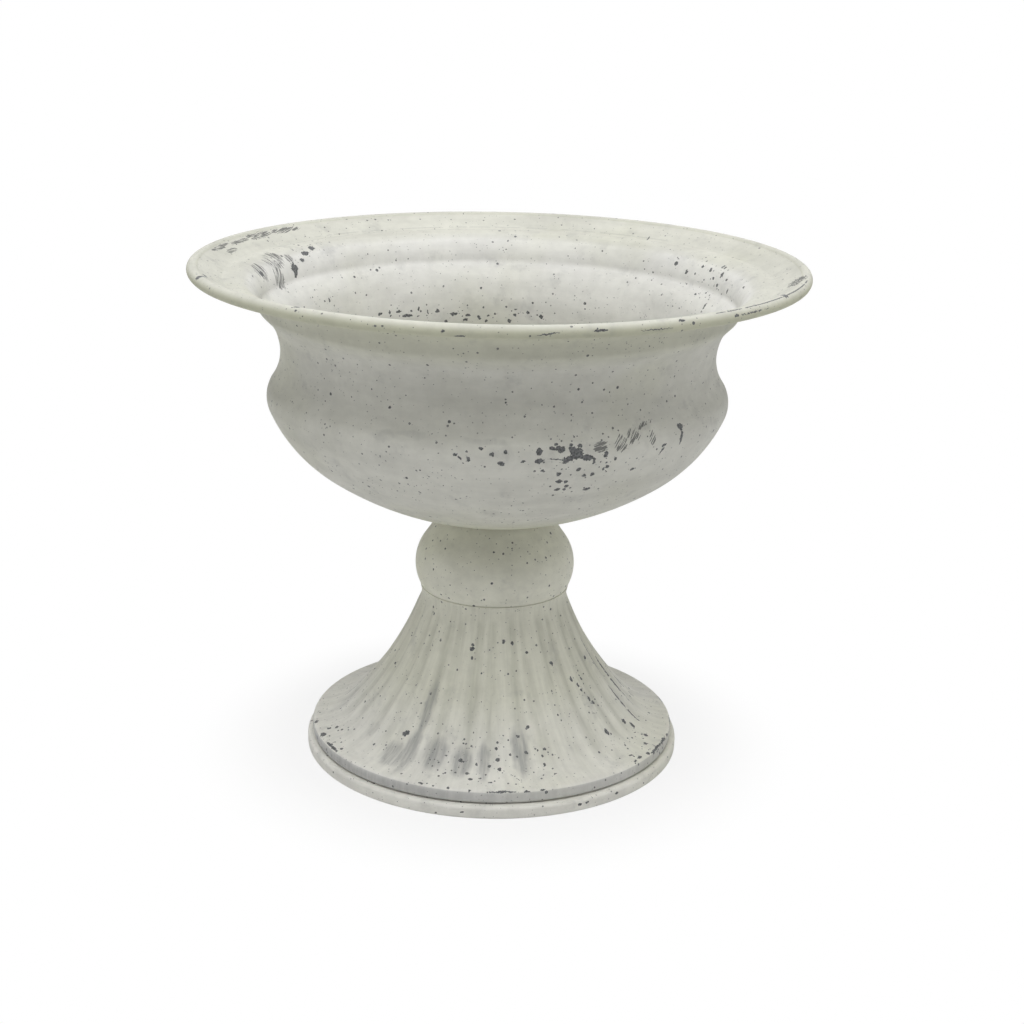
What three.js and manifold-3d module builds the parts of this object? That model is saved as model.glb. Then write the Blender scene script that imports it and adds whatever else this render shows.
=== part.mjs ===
// Urn planter: a spun sheet-metal bowl with a wide wired rim, a turned collar, a fluted
// trumpet-shaped pedestal and a stepped base ring, drawn together by one bolt on the axis.
//
// Millimetres, +Z up. The origin is on the floor, on the axis of the urn.
// Every round part is a profile turned about Z. A profile is traced along the part's outer
// face from its driving sizes, so each part starts where the one below it ends.

import * as THREE from 'three';
import { mergeVertices } from 'three/addons/utils/BufferGeometryUtils.js';
import Module from 'manifold-3d';

// ---------------------------------------------------------------- sheet and rounding
const SHEET = 0.9;              // wall of the bowl, the pedestal and the base ring
const ROUND_STEPS = 48;         // flats around a plain turned part
const SMALL_STEPS = 16;         // flats around a washer, a bore or a shank

// ---------------------------------------------------------------- base ring
const RING_PROUD = 2.5;         // how far the ring stands out past the disc above it
const RING_HEIGHT = 6.5;        // floor to the seat that carries the pedestal
const RING_FOOT_WIDTH = 4.0;    // flat part of the turned-in foot
const RING_FOOT_ROUND = 1.2;
const RING_SHOULDER_ROUND = 1.7;
const RING_LEDGE_DROP = 0.6;    // the open ledge lies this far below the seat
const RING_LEDGE_WIDTH = 2.6;
const RING_SEAT_WIDTH = 7.0;

// ---------------------------------------------------------------- fluted pedestal
const DISC_OUTER_RADIUS = 86.7;
const DISC_EDGE_FLAT = 2.8;     // upright part of the disc's edge
const DISC_EDGE_ROUND = 2.0;
const HEM_WIDTH = 5.6;          // sheet turned in below the disc
const HEM_ROUND = 1.5;
const COVE_RADIUS = 26.6;       // sweep from the disc up into the trumpet
const TRUMPET_RADIUS = 149.0;
const NECK_RADIUS = 24.3;
const DISC_ANGLE = 176;         // directions along the outline, degrees from straight out
const COVE_END_ANGLE = 134;
const TRUMPET_END_ANGLE = 111;
const NECK_END_ANGLE = 98;
const LIP_FLARE = 0.8;
const LIP_HEIGHT = 3.7;

const FLUTE_COUNT = 16;
const FLUTE_START_ANGLE = -5.3;        // direction of the first rib from the front, degrees
const RIB_LIFT = 0.7;           // narrow raised rib
const GROOVE_DEPTH = 0.6;       // groove on both sides of a rib
const CROWN_LIFT = 0.3;         // broad panel between two grooves
const GROOVE_SHARE = 0.2;       // place of the groove in one flute's pitch
const FLUTE_FADE = 7.0;         // height in which a flute dies out at either end
const FLUTE_FOOT = 1.2;         // plain height above the disc's edge

// ---------------------------------------------------------------- collar
const COLLAR_SHEET = 1.2;
const COLLAR_SETBACK = 0.5;     // the collar stands this far inside the pedestal's lip
const COLLAR_LIP_WIDTH = 4.5;   // flange turned in at the bottom
const COLLAR_BULGE_RADIUS = 21.0;
const COLLAR_BULGE_START_ANGLE = 59;
const COLLAR_BULGE_END_ANGLE = 125;
const COLLAR_SHOULDER_HEIGHT = 13.0;
const COLLAR_SEAT_WIDTH = 6.5;  // flange turned in under the bowl
const SEAT_GAP = 0.3;           // between the curved seat and the bowl

// ---------------------------------------------------------------- bowl
const PAD_RADIUS = 16.0;        // flat pressed round the bolt hole
const BOWL_FLOOR_RADIUS = 143.0;
const BOWL_SIDE_RADIUS = 66.0;
const BOWL_SHOULDER_RADIUS = 12.0;
const BOWL_NECK_RADIUS = 25.0;
const FLOOR_END_ANGLE = 35;
const SIDE_END_ANGLE = 67;
const SHOULDER_END_ANGLE = 124.5;
const LEDGE_ANGLE = 45;
const LEDGE_LENGTH = 3.55;
const RIM_COVE_RADIUS = 13.1;   // quarter round that carries the flange
const CREST_WIDTH = 2.7;
const BAND_WIDTH = 10.55;       // sloping outer band of the flange, measured level
const BAND_RISE = 5.9;
const WIRE_DIAMETER = 3.2;
const WIRE_CLEARANCE = 0.3;
const CURL_START_ANGLE = 60;
const CURL_SWEEP_ANGLE = 315;         // how far the edge is rolled round its wire

// ---------------------------------------------------------------- fastening
const BOLT_DIAMETER = 6.0;
const BOLT_HEAD_FLATS = 10.0;
const BOLT_HEAD_HEIGHT = 4.0;
const BOLT_TAIL = 2.4;          // thread left below the nut
const HOLE_CLEARANCE = 0.3;     // round the bolt, in the sheets and washers
const THREAD_CLEARANCE = 0.2;   // round the bolt, in the nut
const NUT_HEIGHT = 5.0;
const SEAL_RADIUS = 13.0;
const SEAL_THICKNESS = 1.6;
const BOWL_WASHER_RADIUS = 9.0;
const BOWL_WASHER_THICKNESS = 1.2;
const FOOT_WASHER_RADIUS = 12.5;
const FOOT_WASHER_THICKNESS = 1.5;
const LOCK_WASHER_RADIUS = 5.4;
const LOCK_WASHER_THICKNESS = 1.5;
const LOCK_WASHER_SLIT_ANGLE = 14;    // degrees left open in the spring washer

const boltRadius = BOLT_DIAMETER / 2;
const holeRadius = boltRadius + HOLE_CLEARANCE;

// ---------------------------------------------------------------- tracing and turning

const radians = THREE.MathUtils.degToRad;

// A line of points (radius, height) drawn with straight runs and tangent arcs.
// Directions are in degrees: 0 runs outwards, 90 runs up, 180 runs inwards.
class Trace {
  constructor(radius, height) {
    this.points = [new THREE.Vector2(radius, height)];
  }

  get end() {
    return this.points[this.points.length - 1];
  }

  by(radius, height) {
    this.points.push(this.end.clone().add(new THREE.Vector2(radius, height)));
    return this;
  }

  to(radius, height) {
    this.points.push(new THREE.Vector2(radius, height));
    return this;
  }

  run(length, slope) {
    return this.by(length * Math.cos(radians(slope)), length * Math.sin(radians(slope)));
  }

  arc(radius, startSlope, endSlope, steps) {
    const start = this.end.clone();
    const side = Math.sign(endSlope - startSlope);
    for (let step = 1; step <= steps; step += 1) {
      const slope = radians(startSlope + (endSlope - startSlope) * step / steps);
      const across = Math.sin(slope) - Math.sin(radians(startSlope));
      const up = Math.cos(radians(startSlope)) - Math.cos(slope);
      this.to(start.x + side * radius * across, start.y + side * radius * up);
    }
    return this;
  }
}

// Unit normals on the left of a line, each split between the two runs that meet there and
// lengthened so that a wall keeps its thickness round a corner.
function leftNormals(points) {
  return points.map((point, index) => {
    const before = points[Math.max(index - 1, 0)];
    const after = points[Math.min(index + 1, points.length - 1)];
    const incoming = point.clone().sub(before).normalize();
    const outgoing = after.clone().sub(point).normalize();
    if (index === 0) incoming.copy(outgoing);
    if (index === points.length - 1) outgoing.copy(incoming);
    const along = incoming.clone().add(outgoing).normalize();
    const stretch = 1 / along.dot(incoming);
    return new THREE.Vector2(-along.y, along.x).multiplyScalar(stretch);
  });
}

// The closed outline of a sheet: out along its outer face and back along its inner face,
// which lies one thickness to the left.
function sheetOutline(trace, thickness) {
  const outer = trace.points;
  const normals = leftNormals(outer);
  const inner = outer.map((point, index) => point.clone().addScaledVector(normals[index], thickness));
  return [...outer, ...inner.reverse(), outer[0].clone()];
}

function turned(outline, steps = ROUND_STEPS) {
  const geometry = new THREE.LatheGeometry(outline, steps);
  geometry.rotateX(Math.PI / 2);
  return geometry;
}

function part(name, geometry, material) {
  const mesh = new THREE.Mesh(geometry, material);
  mesh.name = name;
  return mesh;
}

// ---------------------------------------------------------------- materials

function finish(colour, roughness, metalness) {
  return new THREE.MeshStandardMaterial({ color: colour, roughness, metalness });
}

const chalkPaint = finish(0xc9c7bc, 0.78, 0.0);
const palePaint = finish(0xd2d0c6, 0.78, 0.0);
const greyPaint = finish(0xb9b8ae, 0.8, 0.0);
const ringPaint = finish(0xc2c0b5, 0.8, 0.0);
const wireSteel = finish(0x8d8a82, 0.45, 0.9);
const zincSteel = finish(0xa9abac, 0.35, 0.95);
const sealRubber = finish(0x23221f, 0.9, 0.0);

// ---------------------------------------------------------------- base ring

// A hoop of sheet, open inwards: flat foot, upright wall, ledge, and the seat that goes
// in under the pedestal.
function baseRing() {
  const outerRadius = DISC_OUTER_RADIUS + RING_PROUD;
  const footOuter = outerRadius - RING_FOOT_ROUND;
  const ledgeHeight = RING_HEIGHT - RING_LEDGE_DROP;
  const trace = new Trace(footOuter - RING_FOOT_WIDTH, 0)
    .to(footOuter, 0)
    .arc(RING_FOOT_ROUND, 0, 90, 1)
    .to(outerRadius, ledgeHeight - RING_SHOULDER_ROUND)
    .arc(RING_SHOULDER_ROUND, 90, 180, 2)
    .by(-RING_LEDGE_WIDTH, 0)
    .by(-RING_LEDGE_DROP, RING_LEDGE_DROP)
    .by(-RING_SEAT_WIDTH, 0);
  return part('base_ring', turned(sheetOutline(trace, SHEET)), ringPaint);
}

// ---------------------------------------------------------------- pedestal

// Outer face of the pedestal, from the hem on the base ring up to the bolt hole on top.
function pedestalTrace() {
  return new Trace(DISC_OUTER_RADIUS - HEM_ROUND - HEM_WIDTH, RING_HEIGHT)
    .by(HEM_WIDTH, 0)
    .arc(HEM_ROUND, 0, 90, 1)
    .by(0, DISC_EDGE_FLAT)
    .arc(DISC_EDGE_ROUND, 90, DISC_ANGLE, 2)
    .arc(COVE_RADIUS, DISC_ANGLE, COVE_END_ANGLE, 3)
    .arc(TRUMPET_RADIUS, COVE_END_ANGLE, TRUMPET_END_ANGLE, 3)
    .arc(NECK_RADIUS, TRUMPET_END_ANGLE, NECK_END_ANGLE, 1)
    .by(LIP_FLARE, LIP_HEIGHT);
}

const pedestalSide = pedestalTrace();
const pedestalLipRadius = pedestalSide.end.x;
const pedestalTop = pedestalSide.end.y;
const discTop = RING_HEIGHT + HEM_ROUND + DISC_EDGE_FLAT + DISC_EDGE_ROUND;

// How far a flute stands out at a height: nothing at the disc's edge and at the neck.
function fluteStrength(height) {
  const aboveFoot = (height - discTop - FLUTE_FOOT) / FLUTE_FADE;
  const belowNeck = (pedestalTop - LIP_HEIGHT - height) / FLUTE_FADE;
  return THREE.MathUtils.clamp(Math.min(aboveFoot, belowNeck), 0, 1);
}

// The columns of one flute: its rib, a groove, the crown of the panel, and a groove.
const fluteColumns = [
  { share: 0, lift: RIB_LIFT },
  { share: GROOVE_SHARE, lift: -GROOVE_DEPTH },
  { share: 0.5, lift: CROWN_LIFT },
  { share: 1 - GROOVE_SHARE, lift: -GROOVE_DEPTH },
];

// The plain pedestal is turned first. Then every column of its points is swung to its place
// in the flute and both faces are pushed along the outline's normal, as a press does it.
function pedestalSkirt() {
  const trace = pedestalTrace().to(holeRadius, pedestalTop);
  const outline = sheetOutline(trace, SHEET);
  const normals = leftNormals(trace.points);
  const columnCount = FLUTE_COUNT * fluteColumns.length;
  const geometry = turned(outline, columnCount);
  const position = geometry.attributes.position;
  for (let index = 0; index < position.count; index += 1) {
    const column = Math.floor(index / outline.length) % columnCount;
    const row = index % outline.length % (outline.length - 1);
    const faceRow = row < trace.points.length ? row : outline.length - 2 - row;
    const flute = fluteColumns[column % fluteColumns.length];
    const pitch = Math.floor(column / fluteColumns.length) + flute.share;
    const turn = radians(FLUTE_START_ANGLE + pitch * 360 / FLUTE_COUNT);
    const push = -flute.lift * fluteStrength(trace.points[faceRow].y);
    const radius = outline[row].x + push * normals[faceRow].x;
    const height = outline[row].y + push * normals[faceRow].y;
    position.setXYZ(index, radius * Math.sin(turn), -radius * Math.cos(turn), height);
  }
  return part('pedestal_skirt', geometry, greyPaint);
}

// ---------------------------------------------------------------- collar

// Outer face of the collar, up to the corner where it meets the bowl.
function collarSide() {
  const footRadius = pedestalLipRadius - COLLAR_SETBACK;
  const trace = new Trace(footRadius - COLLAR_LIP_WIDTH, pedestalTop)
    .by(COLLAR_LIP_WIDTH, 0)
    .arc(COLLAR_BULGE_RADIUS, COLLAR_BULGE_START_ANGLE, COLLAR_BULGE_END_ANGLE, 4);
  const lean = COLLAR_SHOULDER_HEIGHT / Math.tan(radians(COLLAR_BULGE_END_ANGLE));
  return trace.by(lean, COLLAR_SHOULDER_HEIGHT);
}

const collarCorner = collarSide().end;

// Height of the bowl's round underside above its flat pad.
function floorRise(radius) {
  const padAngle = Math.asin(PAD_RADIUS / BOWL_FLOOR_RADIUS);
  const angle = Math.asin(radius / BOWL_FLOOR_RADIUS);
  return BOWL_FLOOR_RADIUS * (Math.cos(padAngle) - Math.cos(angle));
}

const padBottom = collarCorner.y + SEAT_GAP - floorRise(collarCorner.x);

function collar() {
  const seatInner = collarCorner.x - COLLAR_SEAT_WIDTH;
  const trace = collarSide()
    .to(seatInner, padBottom - SEAT_GAP + floorRise(seatInner));
  return part('collar', turned(sheetOutline(trace, COLLAR_SHEET)), greyPaint);
}

// ---------------------------------------------------------------- bowl

const curlInnerRadius = WIRE_DIAMETER / 2 + WIRE_CLEARANCE;

// Underside of the bowl and its flange, from the bolt hole to the start of the rolled edge.
function bowlTrace() {
  const padSlope = THREE.MathUtils.radToDeg(Math.asin(PAD_RADIUS / BOWL_FLOOR_RADIUS));
  return new Trace(holeRadius, padBottom)
    .to(PAD_RADIUS, padBottom)
    .arc(BOWL_FLOOR_RADIUS, padSlope, FLOOR_END_ANGLE, 4)
    .arc(BOWL_SIDE_RADIUS, FLOOR_END_ANGLE, SIDE_END_ANGLE, 4)
    .arc(BOWL_SHOULDER_RADIUS, SIDE_END_ANGLE, SHOULDER_END_ANGLE, 3)
    .arc(BOWL_NECK_RADIUS, SHOULDER_END_ANGLE, LEDGE_ANGLE, 5)
    .run(LEDGE_LENGTH, LEDGE_ANGLE)
    .arc(RIM_COVE_RADIUS, 90, 0, 4)
    .by(CREST_WIDTH, 0)
    .by(BAND_WIDTH, BAND_RISE);
}

const curlStart = bowlTrace().end;
const wireCentre = new THREE.Vector2(
  curlStart.x + curlInnerRadius * Math.sin(radians(CURL_START_ANGLE)),
  curlStart.y - curlInnerRadius * Math.cos(radians(CURL_START_ANGLE)),
);

function bowlShell() {
  const trace = bowlTrace()
    .arc(curlInnerRadius, CURL_START_ANGLE, CURL_START_ANGLE - CURL_SWEEP_ANGLE, 8);
  return part('bowl_shell', turned(sheetOutline(trace, SHEET)), chalkPaint);
}

function rimWire() {
  const geometry = new THREE.TorusGeometry(wireCentre.x, WIRE_DIAMETER / 2, 6, ROUND_STEPS);
  geometry.translate(0, 0, wireCentre.y);
  return part('rim_wire', geometry, wireSteel);
}

// ---------------------------------------------------------------- fastening

// A flat ring with its top face at a height.
function washer(name, radius, thickness, top, material) {
  const outline = [
    new THREE.Vector2(holeRadius, top - thickness),
    new THREE.Vector2(radius, top - thickness),
    new THREE.Vector2(radius, top),
    new THREE.Vector2(holeRadius, top),
    new THREE.Vector2(holeRadius, top - thickness),
  ];
  return part(name, turned(outline, SMALL_STEPS), material);
}

const sealTop = padBottom + SHEET + SEAL_THICKNESS;
const headSeat = sealTop + BOWL_WASHER_THICKNESS;
const footWasherTop = pedestalTop - SHEET;
const lockWasherTop = footWasherTop - FOOT_WASHER_THICKNESS;
const nutTop = lockWasherTop - LOCK_WASHER_THICKNESS;
const boltEnd = nutTop - NUT_HEIGHT - BOLT_TAIL;

function hexagon(acrossFlats) {
  const shape = new THREE.Shape();
  for (let corner = 0; corner < 6; corner += 1) {
    const turn = radians(corner * 60);
    const reach = acrossFlats / 2 / Math.cos(radians(30));
    const place = [reach * Math.cos(turn), reach * Math.sin(turn)];
    if (corner === 0) shape.moveTo(...place);
    else shape.lineTo(...place);
  }
  shape.closePath();
  return shape;
}

function prism(shape, bottom, height) {
  const geometry = new THREE.ExtrudeGeometry(shape, {
    depth: height,
    bevelEnabled: false,
    curveSegments: SMALL_STEPS,
  });
  geometry.translate(0, 0, bottom);
  return geometry;
}

// Two solids joined as one closed body.
async function joined(first, second) {
  const wasm = await Module();
  wasm.setup();
  const [one, other] = [first, second].map((geometry) => {
    const bare = new THREE.BufferGeometry();
    bare.setAttribute('position', geometry.attributes.position);
    bare.setIndex(geometry.index);
    const merged = mergeVertices(bare, 1e-4);
    return new wasm.Manifold(new wasm.Mesh({
      numProp: 3,
      vertProperties: new Float32Array(merged.attributes.position.array),
      triVerts: new Uint32Array(merged.index.array),
    }));
  });
  const mesh = one.add(other).getMesh();
  const geometry = new THREE.BufferGeometry();
  geometry.setAttribute('position', new THREE.BufferAttribute(mesh.vertProperties, 3));
  geometry.setIndex(new THREE.BufferAttribute(mesh.triVerts, 1));
  return geometry;
}

// The shank runs from half way up in the head, so that the two bodies truly cross.
async function tieBolt() {
  const shankTop = headSeat + BOLT_HEAD_HEIGHT / 2;
  const shank = new THREE.Shape();
  shank.absarc(0, 0, boltRadius, 0, Math.PI * 2);
  const geometry = await joined(
    prism(hexagon(BOLT_HEAD_FLATS), headSeat, BOLT_HEAD_HEIGHT),
    prism(shank, boltEnd, shankTop - boltEnd),
  );
  return part('tie_bolt', geometry, zincSteel);
}

function hexNut() {
  const shape = hexagon(BOLT_HEAD_FLATS);
  const bore = new THREE.Path();
  bore.absarc(0, 0, boltRadius + THREAD_CLEARANCE, 0, Math.PI * 2);
  shape.holes.push(bore);
  return part('hex_nut', prism(shape, nutTop - NUT_HEIGHT, NUT_HEIGHT), zincSteel);
}

function lockWasher() {
  const opening = radians(LOCK_WASHER_SLIT_ANGLE);
  const shape = new THREE.Shape();
  shape.absarc(0, 0, LOCK_WASHER_RADIUS, opening, Math.PI * 2);
  shape.absarc(0, 0, holeRadius, Math.PI * 2, opening, true);
  shape.closePath();
  const geometry = prism(shape, nutTop, LOCK_WASHER_THICKNESS);
  return part('lock_washer', geometry, zincSteel);
}

// ---------------------------------------------------------------- assembly

const urn = new THREE.Group();
urn.name = 'urn_planter';
urn.add(
  baseRing(),
  pedestalSkirt(),
  collar(),
  bowlShell(),
  rimWire(),
  washer('seal_washer', SEAL_RADIUS, SEAL_THICKNESS, sealTop, sealRubber),
  washer('bowl_washer', BOWL_WASHER_RADIUS, BOWL_WASHER_THICKNESS, headSeat, zincSteel),
  washer('foot_washer', FOOT_WASHER_RADIUS, FOOT_WASHER_THICKNESS, footWasherTop, zincSteel),
  lockWasher(),
  hexNut(),
  await tieBolt(),
);

export default urn;
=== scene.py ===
"""A spun and fluted metal urn for plants, in chalky off-white paint worn through to grey.

Metres, +Z up, with the floor at zero and the urn's axis on Z. A bearing is a direction round
the urn in degrees, seen from above: 0 is the front and 90 the right-hand side.
"""

import math
from dataclasses import dataclass
from random import Random

import bmesh
import bpy
from mathutils import Matrix, Vector


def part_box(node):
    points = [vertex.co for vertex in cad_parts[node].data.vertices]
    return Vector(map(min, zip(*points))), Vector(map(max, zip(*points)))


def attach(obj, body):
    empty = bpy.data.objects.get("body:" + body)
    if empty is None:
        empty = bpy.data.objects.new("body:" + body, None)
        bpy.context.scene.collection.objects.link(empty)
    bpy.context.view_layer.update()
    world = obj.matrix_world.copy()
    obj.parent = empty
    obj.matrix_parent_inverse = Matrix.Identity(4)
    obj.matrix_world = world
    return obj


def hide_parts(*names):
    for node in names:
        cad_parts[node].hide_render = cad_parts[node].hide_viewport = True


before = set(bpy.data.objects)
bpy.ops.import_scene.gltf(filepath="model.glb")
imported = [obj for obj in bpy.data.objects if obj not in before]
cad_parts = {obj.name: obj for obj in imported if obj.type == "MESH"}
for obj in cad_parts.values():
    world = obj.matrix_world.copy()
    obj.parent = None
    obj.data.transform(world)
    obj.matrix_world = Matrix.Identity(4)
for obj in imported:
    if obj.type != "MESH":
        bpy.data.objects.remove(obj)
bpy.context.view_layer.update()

bl_info = {
    "name": "Worn Painted Urn",
    "version": (1, 0, 0),
    "blender": (4, 5, 0),
    "location": "View3D > Sidebar > Urn",
    "description": "Builds a fluted pedestal urn in worn chalk paint, with its stage",
    "category": "Add Mesh",
}

MM = 0.001

# ---------------------------------------------------------------- the urn's sizes, millimetres

RING_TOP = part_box("base_ring")[1].z / MM
PEDESTAL_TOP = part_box("pedestal_skirt")[1].z / MM
PAD_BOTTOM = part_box("bowl_shell")[0].z / MM

RING_FOOT_WIDTH = 4.0
RING_FOOT_ROUND = 1.2
RING_SHOULDER_ROUND = 1.7
RING_LEDGE_DROP = 0.6
RING_LEDGE_WIDTH = 2.6
RING_SEAT_WIDTH = 7.0

DISC_EDGE_FLAT = 2.8
DISC_EDGE_ROUND = 2.0
HEM_WIDTH = 5.6
HEM_ROUND = 1.5
COVE_RADIUS = 26.6
TRUMPET_RADIUS = 149.0
NECK_RADIUS = 24.3
DISC_ANGLE = 176
COVE_END_ANGLE = 134
TRUMPET_END_ANGLE = 111
NECK_END_ANGLE = 98
LIP_FLARE = 0.8
LIP_HEIGHT = 3.7
FLUTE_FADE = 7.0
FLUTE_FOOT = 1.2
GROOVE_SHARE = 0.19

COLLAR_SHEET = 1.2
COLLAR_SETBACK = 0.5
COLLAR_LIP_WIDTH = 4.5
COLLAR_BULGE_RADIUS = 21.0
COLLAR_BULGE_START_ANGLE = 59
COLLAR_BULGE_END_ANGLE = 125
COLLAR_SHOULDER_HEIGHT = 13.0
COLLAR_SEAT_WIDTH = 6.5
SEAT_GAP = 0.3

PAD_RADIUS = 16.0
BOWL_FLOOR_RADIUS = 143.0
BOWL_SIDE_RADIUS = 66.0
BOWL_SHOULDER_RADIUS = 12.0
BOWL_NECK_RADIUS = 25.0
FLOOR_END_ANGLE = 35
SIDE_END_ANGLE = 67
SHOULDER_END_ANGLE = 124.5
NECK_TOP_ANGLE = 75
NECK_TOP_RADIUS = 17.0
NECK_TOP_RUN = 2.144
LEDGE_ANGLE = 45
LEDGE_LENGTH = 1.75
LEDGE_EASE_RADIUS = 4.98
RIM_COVE_ANGLE = 83
RIM_COVE_RADIUS = 13.05
CREST_WIDTH = 2.7
BAND_WIDTH = 10.55
BAND_RISE = 5.9
CREST_RADIUS = 123.0
CREASE_RADIUS = 138.1
WIRE_CLEARANCE = 0.3
CURL_START_ANGLE = 60
CURL_SWEEP_ANGLE = 315

HOLE_RADIUS = 3.3
BOLT_RADIUS = 3.0
BOLT_HEAD_FLATS = 10.0
THREAD_PITCH = 1.0
THREAD_DEPTH = 0.35
THREAD_LENGTH = 20.0
BOLT_HEAD_HEIGHT = 4.0
SLIT_ANGLE = 14

ROOT = "root"
DRUM_RADIUS = 100.0


# ---------------------------------------------------------------- what a user would change

class UrnSizes(bpy.types.PropertyGroup):
    """Sizes of the urn's metalwork."""

    sheet: bpy.props.FloatProperty(
        name="Sheet", description="Thickness of the spun sheet",
        default=0.9 * MM, unit="LENGTH")
    disc_radius: bpy.props.FloatProperty(
        name="Disc radius", description="Outer radius of the pedestal's disc",
        default=86.7 * MM, unit="LENGTH")
    ring_proud: bpy.props.FloatProperty(
        name="Ring proud", description="How far the base ring stands out past the disc",
        default=2.5 * MM, unit="LENGTH")
    wire_diameter: bpy.props.FloatProperty(
        name="Rim wire", description="Diameter of the wire rolled into the rim",
        default=3.2 * MM, unit="LENGTH")
    flutes: bpy.props.IntProperty(
        name="Flutes", description="Number of ribs round the pedestal", default=16)
    flute_bearing: bpy.props.FloatProperty(
        name="First rib", description="Bearing of the first rib",
        default=math.radians(-5.3), unit="ROTATION")
    rib_lift: bpy.props.FloatProperty(
        name="Rib", description="How far a rib stands out", default=0.6 * MM, unit="LENGTH")
    groove_depth: bpy.props.FloatProperty(
        name="Groove", description="Depth of the groove beside a rib",
        default=0.5 * MM, unit="LENGTH")
    crown_lift: bpy.props.FloatProperty(
        name="Crown", description="Lift of the broad panel between two grooves",
        default=0.25 * MM, unit="LENGTH")


class UrnPaint(bpy.types.PropertyGroup):
    """Colours of the urn's paint and metal, among them tones that stand in for light and shade.
    """

    bowl: bpy.props.FloatVectorProperty(
        name="Bowl paint", description="Chalk paint of the bowl", subtype="COLOR",
        default=(0.62, 0.617, 0.563))
    # Yellower and lighter than the bowl's paint; the lightness is painted light on the collar.
    warm_and_lit: bpy.props.FloatVectorProperty(
        name="Warm paint", description="Creamier coat of the collar", subtype="COLOR",
        default=(0.73, 0.727, 0.63))
    # Painted light: a lighter tone laid inside the bowl, lightest from the throat up to the cove,
    # in place of the light that falls there.
    inside: bpy.props.FloatVectorProperty(
        name="Inside paint", description="Cleaner coat inside the bowl", subtype="COLOR",
        default=(0.72, 0.716, 0.685))
    # Lighter than the bowl's paint: painted light on the pedestal.
    pedestal: bpy.props.FloatVectorProperty(
        name="Pedestal paint", description="Chalk paint of the pedestal", subtype="COLOR",
        default=(0.75, 0.742, 0.69))
    # Painted shade: this darker tone stands in for the shade on the upright rim of the pedestal's
    # disc.
    shaded_disc_edge: bpy.props.FloatVectorProperty(
        name="Disc edge", description="Greyer coat on the rim of the pedestal's disc",
        subtype="COLOR", default=(0.56, 0.558, 0.535))
    # Lighter than the bowl's paint: painted light on the base ring.
    ring: bpy.props.FloatVectorProperty(
        name="Ring paint", description="Chalk paint of the base ring", subtype="COLOR",
        default=(0.74, 0.732, 0.68))
    chip: bpy.props.FloatVectorProperty(
        name="Chip", description="Dark metal that shows in a chip", subtype="COLOR",
        default=(0.075, 0.077, 0.078))
    # Used for random clouds of paint gone yellow, and as painted shade that darkens and tints the
    # rolled rim's lower side, the flange's underside, the bowl's bottom and the pedestal's neck.
    yellowing_and_shade: bpy.props.FloatVectorProperty(
        name="Yellowing", description="Tint of the coat where it has yellowed", subtype="COLOR",
        default=(0.83, 0.84, 0.71))
    # Painted shade: this tint darkens the coat in the pedestal's grooves, where shade falls.
    groove: bpy.props.FloatVectorProperty(
        name="Groove", description="Tint of the dust that lies in the flutes", subtype="COLOR",
        default=(0.79, 0.795, 0.78))
    scuff: bpy.props.FloatVectorProperty(
        name="Scuff", description="Grey undercoat where the paint is rubbed thin",
        subtype="COLOR", default=(0.22, 0.225, 0.23))


class UrnStage(bpy.types.PropertyGroup):
    """Camera and light of the photograph."""

    distance: bpy.props.FloatProperty(
        name="Distance", description="Level distance from the axis to the camera",
        default=0.8515, unit="LENGTH")
    height: bpy.props.FloatProperty(
        name="Height", description="Height of the camera above the floor",
        default=0.3904, unit="LENGTH")
    tilt: bpy.props.FloatProperty(
        name="Tilt", description="How far the camera looks down",
        default=math.radians(17.91), unit="ROTATION")
    turn: bpy.props.FloatProperty(
        name="Turn", description="How far the camera looks to the right of the axis",
        default=math.radians(0.52), unit="ROTATION")
    roll: bpy.props.FloatProperty(
        name="Roll", description="How far the camera is rolled anticlockwise",
        default=math.radians(1.2), unit="ROTATION")
    lens: bpy.props.FloatProperty(
        name="Lens", description="Focal length on a 36 mm wide sensor",
        default=66.8, unit="CAMERA")
    floor: bpy.props.FloatVectorProperty(
        name="Floor", description="Colour of the floor", subtype="COLOR",
        default=(0.75, 0.75, 0.75))
    sky: bpy.props.FloatProperty(
        name="Sky", description="Brightness of the light from all round", default=0.24)
    top_light: bpy.props.FloatProperty(
        name="Top light", description="Power of the broad lamp overhead",
        default=10.5, unit="POWER")
    front_light: bpy.props.FloatProperty(
        name="Front light", description="Power of the broad lamp high over the camera",
        default=13.5, unit="POWER")
    side_light: bpy.props.FloatProperty(
        name="Side lights", description="Power of the broad lamps left and right",
        default=2.7, unit="POWER")


# ---------------------------------------------------------------- outlines

class Outline:
    """A line of points (radius, height) in millimetres, drawn with runs and tangent arcs.

    Directions are in degrees: 0 runs outwards, 90 runs up, 180 runs inwards.
    """

    arc_step = 3.0

    def __init__(self, radius, height):
        self.points = [Vector((radius, height))]

    @property
    def end(self):
        return self.points[-1]

    def by(self, radius, height, pieces=1):
        start = self.end.copy()
        for piece in range(1, pieces + 1):
            self.points.append(start + Vector((radius, height)) * piece / pieces)
        return self

    def to(self, radius, height, pieces=1):
        return self.by(radius - self.end.x, height - self.end.y, pieces)

    def run(self, length, angle):
        turn = math.radians(angle)
        return self.by(length * math.cos(turn), length * math.sin(turn))

    def arc(self, radius, start_angle, end_angle, step=None):
        start = self.end.copy()
        side = math.copysign(1, end_angle - start_angle)
        first = math.radians(start_angle)
        pieces = max(2, math.ceil(abs(end_angle - start_angle) / (step or self.arc_step)))
        for piece in range(1, pieces + 1):
            turn = math.radians(start_angle + (end_angle - start_angle) * piece / pieces)
            across = math.sin(turn) - math.sin(first)
            up = math.cos(first) - math.cos(turn)
            self.points.append(start + side * radius * Vector((across, up)))
        return self


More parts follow.
